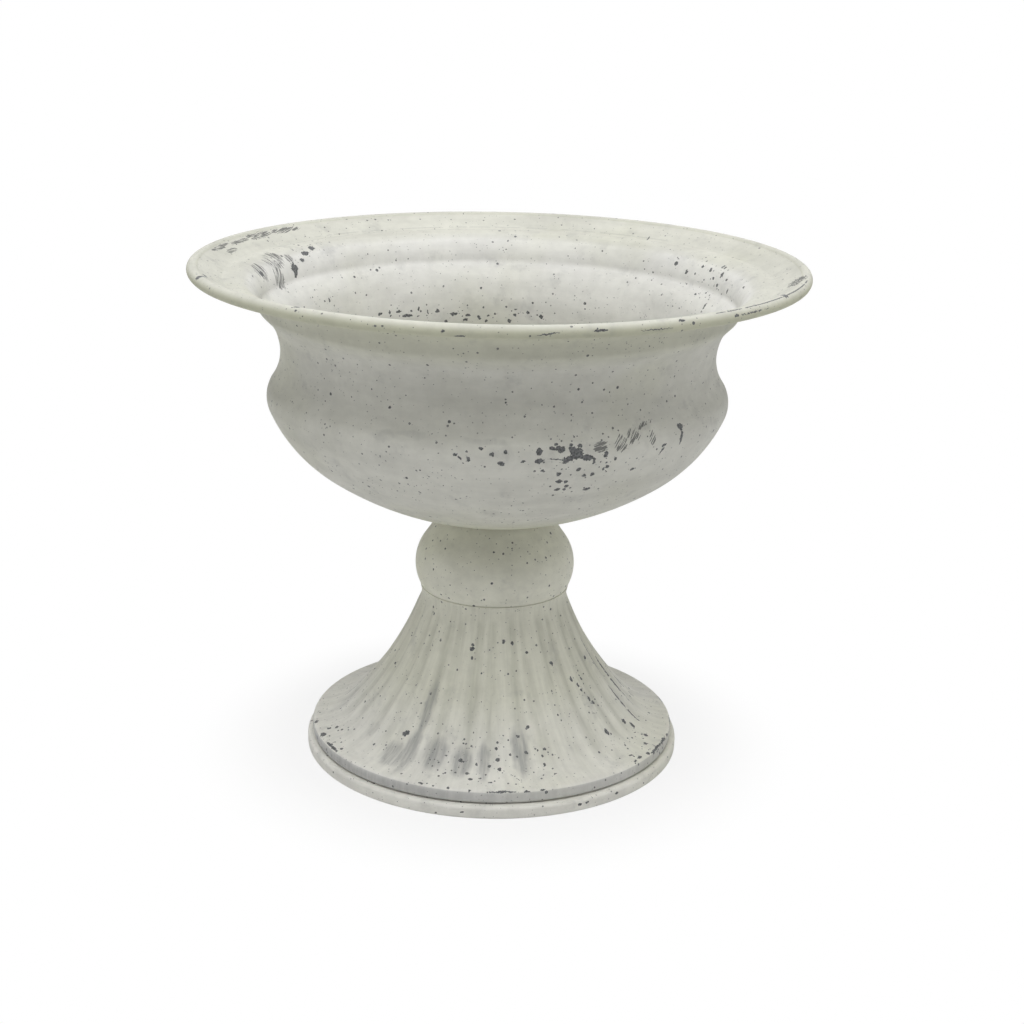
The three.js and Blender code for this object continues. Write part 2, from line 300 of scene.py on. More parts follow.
def left_normals(points):
    """Normals on the left of a line, lengthened at corners to keep a wall's thickness."""
    normals = []
    for index, point in enumerate(points):
        before = points[max(index - 1, 0)]
        after = points[min(index + 1, len(points) - 1)]
        outgoing = (after - point).normalized() if after != point else None
        incoming = (point - before).normalized() if point != before else outgoing
        outgoing = outgoing or incoming
        along = (incoming + outgoing).normalized()
        normals.append(Vector((-along.y, along.x)) / along.dot(incoming))
    return normals


def sheet_outline(outline, thickness):
    """The closed section of a sheet whose outer face is the outline."""
    normals = left_normals(outline.points)
    inner = [point + normal * thickness for point, normal in zip(outline.points, normals)]
    return outline.points + inner[::-1]


def widest(points, height):
    """Largest radius of a line of points at a height."""
    found = []
    for start, end in zip(points, points[1:]):
        if start.y != end.y and min(start.y, end.y) <= height <= max(start.y, end.y):
            found.append(start.x + (end.x - start.x) * (height - start.y) / (end.y - start.y))
    return max(found)


def bowl_outline(sizes):
    """Underside of the bowl from the bolt hole to the start of the rolled edge."""
    pad_angle = math.degrees(math.asin(PAD_RADIUS / BOWL_FLOOR_RADIUS))
    return (Outline(HOLE_RADIUS, PAD_BOTTOM)
            .to(PAD_RADIUS, PAD_BOTTOM, 3)
            .arc(BOWL_FLOOR_RADIUS, pad_angle, FLOOR_END_ANGLE, 1.6)
            .arc(BOWL_SIDE_RADIUS, FLOOR_END_ANGLE, SIDE_END_ANGLE, 2.4)
            .arc(BOWL_SHOULDER_RADIUS, SIDE_END_ANGLE, SHOULDER_END_ANGLE)
            .arc(BOWL_NECK_RADIUS, SHOULDER_END_ANGLE, NECK_TOP_ANGLE)
            .run(NECK_TOP_RUN, NECK_TOP_ANGLE)
            .arc(NECK_TOP_RADIUS, NECK_TOP_ANGLE, LEDGE_ANGLE, 5)
            .run(NECK_TOP_RUN + LEDGE_LENGTH, LEDGE_ANGLE)
            .arc(LEDGE_EASE_RADIUS, LEDGE_ANGLE, RIM_COVE_ANGLE, 4)
            .arc(RIM_COVE_RADIUS, RIM_COVE_ANGLE, 0, 4)
            .by(CREST_WIDTH, 0)
            .by(BAND_WIDTH, BAND_RISE, 4))


def curl_radius(sizes):
    return sizes.wire_diameter / MM / 2 + WIRE_CLEARANCE


def wire_centre(sizes):
    """Centre of the rolled edge in the section of the rim."""
    start = bowl_outline(sizes).end
    turn = math.radians(CURL_START_ANGLE)
    return start + curl_radius(sizes) * Vector((math.sin(turn), -math.cos(turn)))


def pedestal_outline(sizes):
    """Outer face of the pedestal from its hem up to the lip under the collar."""
    hem_start = sizes.disc_radius / MM - HEM_ROUND - HEM_WIDTH
    return (Outline(hem_start, RING_TOP)
            .by(HEM_WIDTH, 0)
            .arc(HEM_ROUND, 0, 90, 18)
            .by(0, DISC_EDGE_FLAT)
            .arc(DISC_EDGE_ROUND, 90, DISC_ANGLE, 12)
            .arc(COVE_RADIUS, DISC_ANGLE, COVE_END_ANGLE)
            .arc(TRUMPET_RADIUS, COVE_END_ANGLE, TRUMPET_END_ANGLE, 1.0)
            .arc(NECK_RADIUS, TRUMPET_END_ANGLE, NECK_END_ANGLE)
            .by(LIP_FLARE, LIP_HEIGHT, 3))


def collar_outline(sizes):
    """Outer face of the collar, up to the corner under the bowl."""
    foot = pedestal_outline(sizes).end.x - COLLAR_SETBACK
    lean = COLLAR_SHOULDER_HEIGHT / math.tan(math.radians(COLLAR_BULGE_END_ANGLE))
    return (Outline(foot - COLLAR_LIP_WIDTH, PEDESTAL_TOP)
            .by(COLLAR_LIP_WIDTH, 0)
            .arc(COLLAR_BULGE_RADIUS, COLLAR_BULGE_START_ANGLE, COLLAR_BULGE_END_ANGLE)
            .by(lean, COLLAR_SHOULDER_HEIGHT, 4))


def hump(share, middle, width):
    """A smooth hump on either side of a rib, in shares of the flutes' pitch."""
    return math.exp(-((abs(share) - middle) / width) ** 2)


def floor_rise(radius):
    """Height of the bowl's round underside above its flat pad."""
    pad = math.asin(PAD_RADIUS / BOWL_FLOOR_RADIUS)
    angle = math.asin(radius / BOWL_FLOOR_RADIUS)
    return BOWL_FLOOR_RADIUS * (math.cos(pad) - math.cos(angle))


def base_ring_outline(sizes):
    """Outer face of the base ring from its foot to the seat under the pedestal."""
    outer = (sizes.disc_radius + sizes.ring_proud) / MM
    foot = outer - RING_FOOT_ROUND
    ledge = RING_TOP - RING_LEDGE_DROP
    return (Outline(foot - RING_FOOT_WIDTH, 0)
            .to(foot, 0)
            .arc(RING_FOOT_ROUND, 0, 90, 15)
            .to(outer, ledge - RING_SHOULDER_ROUND)
            .arc(RING_SHOULDER_ROUND, 90, 180, 12)
            .by(-RING_LEDGE_WIDTH, 0)
            .by(-RING_LEDGE_DROP, RING_LEDGE_DROP)
            .by(-RING_SEAT_WIDTH, 0))


# ---------------------------------------------------------------- turning and finishing meshes

def turned(section, steps, sweep=math.tau, pushes=None, painted_light_and_yellowing=None):
    """Spins a closed section of (radius, height) in millimetres about the axis.

    Each corner keeps its way along the section, from which its paint is streaked, the
    direction in which it may be pushed later and how much painted light and shade and
    yellow tint its paint takes.
    """
    shape = bmesh.new()
    way = shape.verts.layers.float.new("way")
    light_and_yellowing_layer = shape.verts.layers.float.new("painted_light_and_yellowing")
    push = shape.verts.layers.float_vector.new("push") if pushes else None
    corners = []
    walked = 0.0
    for index, point in enumerate(section):
        walked += (point - section[max(index - 1, 0)]).length * MM
        corner = shape.verts.new((0, -point.x * MM, point.y * MM))
        corner[way] = walked
        if painted_light_and_yellowing:
            corner[light_and_yellowing_layer] = painted_light_and_yellowing(point, outside=index < len(section) / 2)
        if pushes:
            corner[push] = (*pushes[index], 0)
        corners.append(corner)
    rim = [shape.edges.new(pair) for pair in zip(corners, corners[1:] + corners[:1])]
    bmesh.ops.spin(
        shape, geom=corners + rim, cent=(0, 0, 0), axis=(0, 0, 1), angle=sweep, steps=steps,
        use_merge=math.isclose(sweep, math.tau), use_duplicate=False)
    return shape


def ease_corners(shape, width, sharper_than=22):
    """Rounds every edge that is sharper than an angle in degrees."""
    limit = math.radians(sharper_than)
    sharp = [edge for edge in shape.edges
             if len(edge.link_faces) == 2 and edge.calc_face_angle(0) > limit]
    bmesh.ops.bevel(
        shape, geom=sharp, offset=width * MM, offset_type="OFFSET", segments=2,
        profile=0.5, affect="EDGES", material=-1, clamp_overlap=True)


def unroll(shape):
    """Stores a place on a drum for every corner, so that streaks can follow the turned sheet."""
    way = shape.verts.layers.float["way"]
    drum = shape.verts.layers.float_vector.new("drum")
    for corner in shape.verts:
        radius = math.hypot(corner.co.x, corner.co.y)
        reach = DRUM_RADIUS * MM / max(radius, 1e-6)
        corner[drum] = (corner.co.x * reach, corner.co.y * reach, corner[way])


def finished(shape, name, material, node):
    """Closes a mesh, turns its faces outwards and mounts it on the urn."""
    bmesh.ops.remove_doubles(shape, verts=shape.verts, dist=1e-7)
    bmesh.ops.recalc_face_normals(shape, faces=shape.faces)
    unroll(shape)
    for face in shape.faces:
        face.smooth = True
    mesh = bpy.data.meshes.new(name)
    shape.to_mesh(mesh)
    shape.free()
    mesh.materials.append(material)
    piece = bpy.data.objects.new(name, mesh)
    bpy.context.scene.collection.objects.link(piece)
    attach(piece, ROOT)
    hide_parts(node)


# ---------------------------------------------------------------- paint and metal

class Finish:
    """A material under construction, with short words for the nodes that it is made of."""

    def __init__(self, name, outline=()):
        self.outline = outline
        self.material = bpy.data.materials.new(name)
        self.material.use_nodes = True
        self.tree = self.material.node_tree
        self.tree.nodes.clear()
        self.shader = self.add("ShaderNodeBsdfPrincipled")
        self.output = self.add("ShaderNodeOutputMaterial")
        self.tree.links.new(self.shader.outputs["BSDF"], self.output.inputs["Surface"])
        self.place = self.add("ShaderNodeTexCoord").outputs["Object"]

    def add(self, kind, **settings):
        node = self.tree.nodes.new(kind)
        for key, value in settings.items():
            setattr(node, key, value)
        return node

    def plug(self, socket, value):
        if isinstance(value, bpy.types.NodeSocket):
            self.tree.links.new(value, socket)
        else:
            socket.default_value = value

    def set(self, name, value):
        self.plug(self.shader.inputs[name], value)

    def attribute(self, name, output="Vector"):
        return self.add("ShaderNodeAttribute", attribute_name=name).outputs[output]

    def math(self, operation, *values):
        node = self.add("ShaderNodeMath", operation=operation)
        for socket, value in zip(node.inputs, values):
            self.plug(socket, value)
        return node.outputs[0]

    def fade(self, value, start, end, low=0.0, high=1.0):
        """Runs smoothly from low to high while a value runs from start to end."""
        node = self.add("ShaderNodeMapRange", interpolation_type="SMOOTHSTEP")
        for socket, number in zip(node.inputs, (value, start, end, low, high)):
            self.plug(socket, number)
        return node.outputs["Result"]

    def blend(self, amount, under, over, kind="MIX"):
        node = self.add("ShaderNodeMix", data_type="RGBA", blend_type=kind)
        self.plug(node.inputs["Factor"], amount)
        self.plug(node.inputs["A"], colour(under))
        self.plug(node.inputs["B"], colour(over))
        return node.outputs["Result"]

    def grey(self, value):
        node = self.add("ShaderNodeCombineColor")
        for socket in node.inputs:
            self.plug(socket, value)
        return node.outputs["Color"]

    def noise(self, size, detail=2.0, roughness=0.5, place=None, stretch=(1, 1, 1), out="Fac"):
        """Cloudy noise whose features are about this many millimetres wide."""
        node = self.add("ShaderNodeTexNoise")
        node.texture_mapping.scale = stretch
        self.plug(node.inputs["Vector"], self.place if place is None else place)
        self.plug(node.inputs["Scale"], 1 / (size * MM))
        self.plug(node.inputs["Detail"], detail)
        self.plug(node.inputs["Roughness"], roughness)
        return node.outputs[out]

    def shaken(self, size, amount):
        """The place shaken by noise, so that the edges of a mark on it are torn."""
        centred = self.add("ShaderNodeMapping")
        self.plug(centred.inputs["Vector"], self.noise(size, 2.0, out="Color"))
        centred.inputs["Location"].default_value = (-amount * MM / 2,) * 3
        centred.inputs["Scale"].default_value = (amount * MM,) * 3
        moved = self.add("ShaderNodeMapping")
        self.plug(moved.inputs["Vector"], self.place)
        self.plug(moved.inputs["Location"], centred.outputs["Vector"])
        return moved.outputs["Vector"]

    def nearness(self, spots, place):
        """One in the middle of the nearest spot, half on its edge and zero a spot further out."""
        best = None
        for spot in spots:
            node = self.add("ShaderNodeTexGradient", gradient_type="SPHERICAL")
            spot.map(node, self.outline)
            self.plug(node.inputs["Vector"], place)
            near = node.outputs["Fac"]
            best = near if best is None else self.math("MAXIMUM", best, near)
        return best

    def radius(self, place):
        """Distance from the urn's axis in millimetres."""
        reach = 200.0
        node = self.add("ShaderNodeTexGradient", gradient_type="SPHERICAL")
        node.texture_mapping.scale = (1 / (reach * MM), 1 / (reach * MM), 0)
        self.plug(node.inputs["Vector"], place)
        return self.math("MULTIPLY_ADD", node.outputs["Fac"], -reach, reach)

    def specks(self, cell, size, place):
        """Scattered dots: one in each cell, of which most miss the surface."""
        cells = self.add("ShaderNodeTexVoronoi")
        self.plug(cells.inputs["Vector"], place)
        self.plug(cells.inputs["Scale"], 1 / (cell * MM))
        away = self.math("MULTIPLY", cells.outputs["Distance"], cell)
        lot = self.add("ShaderNodeSeparateColor")
        self.plug(lot.inputs["Color"], cells.outputs["Color"])
        reach = self.math("MULTIPLY_ADD", lot.outputs["Red"], size * 0.75, size * 0.25)
        return self.math("LESS_THAN", away, reach)

    def strokes(self, spot, place):
        """Dry-brush strokes of a spot's sizes, as noise."""
        node = self.add("ShaderNodeTexNoise")
        spot.map(node, self.outline)
        self.plug(node.inputs["Vector"], place)
        self.plug(node.inputs["Scale"], 1.0)
        self.plug(node.inputs["Detail"], 1.5)
        return node.outputs["Fac"]

    def most(self, *masks):
        result = masks[0]
        for mask in masks[1:]:
            result = self.math("MAXIMUM", result, mask)
        return result

    def bump(self, height, depth):
        node = self.add("ShaderNodeBump")
        self.plug(node.inputs["Height"], height)
        self.plug(node.inputs["Distance"], depth * MM)
        self.set("Normal", node.outputs["Normal"])


def colour(value):
    """A colour of three numbers as the four that a socket takes."""
    if isinstance(value, bpy.types.NodeSocket) or len(value) == 4:
        return value
    return (*value, 1.0)


@dataclass
class Spot:
    """A mark on the urn: where it is, and its size, in millimetres and degrees.

    It lies on the widest part of its piece at its height, unless it is given a radius. It is
    round unless it is tall, and a positive lean turns it clockwise. Deep is its size in and out.
    """

    bearing: float
    height: float
    wide: float
    tall: float = None
    lean: float = 0
    deep: float = 8
    radius: float = None

    def map(self, node, outline):
        """Sets a texture's own mapping to the mark's place and sizes."""
        turn = math.radians(self.bearing)
        radius = self.radius or widest(outline, self.height)
        mapping = node.texture_mapping
        mapping.vector_type = "TEXTURE"
        mapping.translation = Vector(
            (radius * math.sin(turn), -radius * math.cos(turn), self.height)) * MM
        mapping.rotation = (0, math.radians(self.lean), turn)
        mapping.scale = Vector((self.wide, self.deep, self.tall or self.wide)) * MM


@dataclass
class Ring:
    """A hair line round the urn at one radius, within a window and broken by noise."""

    radius: float
    width: float
    window: Spot
    broken: float
    strength: float = 1.0


@dataclass
class Wear:
    """The worn places of one piece.

    Each hatching is a stroke's direction and sizes, how dense the strokes are (less is
    denser) and the places that they cover. The haze is how grey the smudges are.
    """

    chips: tuple = ()
    scatter: tuple = ()
    hatching: tuple = ()
    smudges: tuple = ()
    haze: float = 0.5
    cracks: tuple = ()
    rings: tuple = ()


# The belly is worn on its widest line, the neck on the ridge that shows inside, and the rim
# along the bead and over the flange at the back left.

BOWL_WEAR = Wear(
    chips=[
        # the belly, from left to right
        Spot(-9.3, 173.2, 1.7, 1.2), Spot(-8.2, 171.8, 0.9, 1.9, lean=-40),
        Spot(-6.3, 171.6, 1.7, 1.9), Spot(-3.5, 176, 1.5), Spot(-1, 174, 1.8),
        Spot(2, 175, 1.4, 2.1), Spot(1, 170, 3.0, 2.0), Spot(9.5, 175, 3.1, 2.8),
        Spot(12.5, 176, 2.7, 1.6, lean=20), Spot(14.5, 175.5, 3.5, 2.8), Spot(9.5, 171, 3.7, 2.3),
        Spot(6, 171, 2.4, 1.0, lean=-15), Spot(18.2, 173.4, 5.4, 4.6),
        Spot(16.2, 171.4, 6.0, 2.8, lean=-22), Spot(20.6, 171.4, 6.0, 2.5, lean=8),
        Spot(22.5, 169.6, 1.5, 3.6), Spot(17, 175.2, 3.2, 2.6, lean=20),
        Spot(17, 177.2, 1.6, 1.2), Spot(25.3, 172, 1.9, 3.1, lean=25),
        Spot(28, 169.4, 1.8, lean=30), Spot(34, 162.5, 2.2, 1.4, lean=-15),
        Spot(25.5, 165, 1.0, 1.9), Spot(23, 163, 1.9), Spot(21, 162.6, 1.5),
        Spot(15, 160.5, 2.9, 1.8), Spot(15, 156, 2.2, 1.4, lean=-10),
        Spot(23, 155, 3.1, 1.5, lean=-12), Spot(42, 171.6, 3.4, 1.2, lean=-15),
        Spot(41.5, 169, 0.9, 4.4, lean=28), Spot(48, 177.5, 3.2, 2.8),
        Spot(48, 173, 1.9, 6.2, lean=15),
        # the cove at the back left
        Spot(243.5, 219.8, 5.4, 4.6, lean=-20, radius=109.2),
        Spot(243.7, 217.2, 2.8, 4.4, lean=-25), Spot(260.8, 222.7, 4.4, 2.6),
        Spot(239.2, 222.3, 2.7, 1.7), Spot(236.6, 224.7, 5.4, 1.7, radius=113.4),
        Spot(233, 226, 3.6, 1.5, radius=115.4), Spot(235.5, 203.1, 1.2, 2.2),
        # the cove on the right
        Spot(129, 221.9, 2.4, 2.0), Spot(124.2, 219.4, 2.0, 2.3, radius=109.2),
        Spot(119.3, 223.6, 1.8, 1.2, radius=112.1), Spot(115.4, 222.8, 1.8, 1.3, radius=111.4),
        Spot(112.2, 225.5, 1.8, 1.2, radius=114.7),
        Spot(109.6, 222.9, 3.2, 1.9, lean=-35, radius=111.5), Spot(106, 221.8, 2.0, 1.2),
        Spot(112.5, 220.2, 1.8, 1.3), Spot(102.6, 217.6, 1.3, 2.8),
        Spot(93.3, 223.1, 2.6, 1.0, radius=111.6),
        Spot(143.7, 228.6, 0.9, 2.0, deep=4, radius=125.8), Spot(109, 208.2, 1.3, 3.2),
        # the row on the far ridge of the neck
        Spot(217, 192, 2.8, 1.6), Spot(213.7, 192.3, 1.4, 2.0), Spot(210.7, 192.2, 3.2, 1.5),
        Spot(207.7, 189.7, 6.0, 1.8), Spot(204.3, 192.8, 1.3, 2.0),
        Spot(201.4, 190.8, 0.9, 2.2, lean=20), Spot(198.5, 191, 2.2, 2.0),
        Spot(193.5, 189.2, 4.0, 1.4), Spot(189.2, 188.2, 2.8, 1.4), Spot(189.8, 185.8, 2.4, 1.6),
        Spot(185.7, 186.6, 1.5, 2.0), Spot(183.3, 187.9, 1.8, 1.0), Spot(183.7, 185, 1.8, 1.6),
        Spot(177, 185.3, 2.2, 2.0), Spot(175.4, 188.6, 2.0, 1.6), Spot(171.5, 190.2, 2.0, 1.5),
        # the rolled rim
        Spot(-8.8, 232.2, 1.6, 1.0), Spot(-6.2, 230.4, 4.0, 0.9),
        Spot(16.3, 232.6, 6.0, 1.1, deep=3, radius=139.8), Spot(31, 234, 3.2, 0.9, radius=138.9),
        Spot(43, 232.8, 2.4, 1.3), Spot(59.8, 234.7, 3.4, 1.4, radius=138.2),
        Spot(-35.6, 234.7, 3.0, 2.0, deep=1.3, radius=137.5),
        Spot(-67.5, 234.4, 4.0, 1.6, radius=138.5),
        Spot(-72, 233, 7.0, 4.0, deep=1.5, radius=133.5),
    ],
    scatter=[
        Spot(18, 166, 30, 26, deep=20), Spot(-7, 171, 12, 8), Spot(113, 219, 26, 14, deep=26),
        Spot(208, 190.5, 26, 7, deep=16), Spot(190, 187.5, 34, 6, deep=16),
        Spot(174, 188.5, 24, 6, deep=16),
    ],
    hatching=[
        (Spot(24, 175, 0.5, 6, lean=78, radius=105), 0.42,
         [Spot(24, 175.3, 6.8, 5.0, lean=-12)]),
        (Spot(31, 175, 0.55, 6, lean=42, radius=105), 0.50,
         [Spot(29.3, 175.6, 7, 8), Spot(33, 177.6, 7, 8),
          Spot(38.3, 175.8, 3.8, 7), Spot(37, 181.6, 16, 2.2, lean=-12, radius=104.2)]),
        (Spot(258, 222, 0.5, 8, lean=6, radius=111), 0.50,
         [Spot(260, 224, 12, 12, deep=11, radius=112.5), Spot(249.5, 225, 18, 11, deep=12),
          Spot(243.5, 224.5, 6, 5, deep=6, radius=113)]),
        (Spot(252, 218, 0.5, 8, lean=-26), 0.50, [Spot(252, 217.5, 10, 17, deep=8)]),
        (Spot(246, 232, 7, 9, deep=0.42, radius=132), 0.46,
         [Spot(258, 233, 22, 9, deep=2.6, radius=133.6),
          Spot(249, 232.4, 20, 9, deep=2.4, radius=132.8),
          Spot(241.5, 232.5, 22, 9, deep=4.4, radius=133.2),
          Spot(233, 232.3, 22, 9, deep=3.6, radius=133.2),
          Spot(255.5, 230.8, 13, 9, deep=2.6, radius=129.8)]),
        (Spot(78, 233, 2.4, 3, deep=0.6, radius=133.5), 0.42,
         [Spot(77.5, 233.0, 18, 8, deep=10, radius=133.2)]),
    ],
    smudges=[Spot(-2, 178.8, 20, 3.4), Spot(-20, 179.4, 14, 3),
             Spot(36, 180.5, 18, 3, lean=-8)],
    haze=0.22,
    cracks=[
        Spot(-66, 234.2, 12, 3, deep=0.8, radius=135.5),
        Spot(26.2, 231.6, 15, 0.4, deep=3, radius=139.8),
        Spot(48, 232.7, 22, 0.6, deep=2.4, radius=139.6),
        Spot(7.8, 231.8, 9, 0.6, lean=-8, deep=3, radius=139.8), Spot(13, 171.6, 6, 0.5, lean=6),
    ],
    rings=[
        # The two faint rings at the crest are painted shade along the crease there; the ring at
        # the crease radius is a crack along the rolled rim.
        Ring(CREST_RADIUS, 0.7, Spot(190, 229, 230, 8, deep=150, radius=110), 0.38, 0.22),
        Ring(CREST_RADIUS + 3.0, 0.6, Spot(182, 230, 200, 8, deep=120, radius=110), 0.42, 0.18),
        Ring(CREASE_RADIUS, 0.55, Spot(57, 234, 92, 6, deep=50, radius=137), 0.36),
    ])

PEDESTAL_WEAR = Wear(
    chips=[
        Spot(-37.4, 24.1, 3.8, 2.1, lean=-20), Spot(-13.7, 61.2, 2.3, 1.9),
        Spot(-13.3, 57.5, 1.3, 1.5), Spot(7.1, 64.8, 1.5, 1.8), Spot(13.3, 63.7, 1.2, 1.5),
        Spot(38, 53, 1.3, 2.0), Spot(48, 44.4, 1.5, 1.9), Spot(51, 41.3, 1.4, 1.6),
        Spot(69.7, 48.7, 1.8, 1.6), Spot(54, 34.7, 1.3, 2.3), Spot(53, 21.4, 2.4, 2.4),
        Spot(67.7, 20.4, 2.2, 2.1), Spot(70, 17.8, 1.8, 2.2),
        Spot(-60, 12.3, 12, 1.2, deep=1.7, radius=85.4),
        Spot(-69.5, 12.4, 4.0, 3.0, deep=3, radius=84.8),
        Spot(-80, 12.3, 2.6, 1.6, deep=2.4, radius=85.2),
        Spot(-21.4, 12.5, 3.0, 0.9, deep=1.3, radius=85.4),
        Spot(-17.4, 12.4, 1.3, 1.0, deep=1.3, radius=85.7),
        Spot(-12.8, 12.4, 1.3, 1.0, deep=1.3, radius=85.6), Spot(-6.3, 12.2, 1.4, 1.0, deep=1.3),
        Spot(3.2, 12.1, 17, 0.7, deep=1.3), Spot(11, 11.9, 3.6, 0.8, deep=1.3),
        Spot(15.8, 12.1, 2.4, 0.8, deep=1.3), Spot(54.5, 12.6, 3.4, 2.6, deep=1.8, radius=84.6),
        Spot(53.2, 13.5, 2.4, 2.0, deep=1.2, radius=80.8),
        Spot(51.6, 12.7, 2.4, 1.8, deep=1.2, radius=85),
        Spot(64, 12.2, 14, 1.1, deep=1.4, radius=85.9), Spot(71, 12.2, 5, 1.4, deep=2.6),
        Spot(75.6, 11.9, 3, 1.2, deep=1.6), Spot(88, 11.6, 11, 1.0, deep=1.2, radius=86.3),
        Spot(103, 12.1, 8, 1.6, deep=2),
    ],
    scatter=[
        Spot(62, 12, 30, 14, deep=22, radius=83), Spot(-66, 12, 26, 14, deep=20, radius=83),
        Spot(0, 20, 62, 18, deep=26), Spot(56, 36, 14, 26, deep=30),
    ],
    smudges=[
        Spot(-31.6, 34, 5.5, 30, deep=34), Spot(-31.8, 19, 7.5, 20, deep=34),
        Spot(-37.5, 16.2, 14, 14, deep=15), Spot(-21.5, 19.5, 12, 18, deep=18),
        Spot(-10.8, 18, 10, 15, deep=17), Spot(-2.7, 19, 6, 18, deep=22),
        # The long last smudge, a band over the disc's edge at the front left, is painted shade on
        # that edge.
        Spot(11.3, 22, 8, 26, deep=26), Spot(-46, 9.2, 110, 7, deep=84, radius=52),
    ],
    haze=0.62,
    cracks=[
        Spot(78, 47, 1.5, 22, deep=26), Spot(76.5, 25, 1.8, 20, deep=30, radius=65),
        Spot(84.5, 34, 1.6, 34, deep=40), Spot(96, 27, 1.4, 20, deep=30),
        Spot(-96, 23, 1.4, 16, deep=24),
    ])

RING_WEAR = Wear(
    chips=[Spot(26.7, 3.5, 2.0, 1.1), Spot(29.3, 3.7, 1.8, 1.1),
           Spot(40, 3.8, 2.2, 1.2), Spot(-8, 3.0, 1.8, 1.0)])


def chalk_coat(finish, tone, streaks):
    """The paint itself: cloudy tone, wiped streaks and small paler patches."""
    drum = finish.attribute("drum")
    clouds = finish.fade(finish.noise(40, 3), 0.3, 0.7, 0.955, 1.025)
    patches = finish.fade(finish.noise(6, 4, 0.65), 0.3, 0.75, 1.035, 0.95)
    wiped = finish.fade(finish.noise(14, 4, 0.6, drum, streaks), 0.32, 0.72, 1.03, 0.925)
    shade = finish.math("MULTIPLY", finish.math("MULTIPLY", clouds, patches), wiped)
    return finish.blend(1.0, tone, finish.grey(shade), "MULTIPLY")


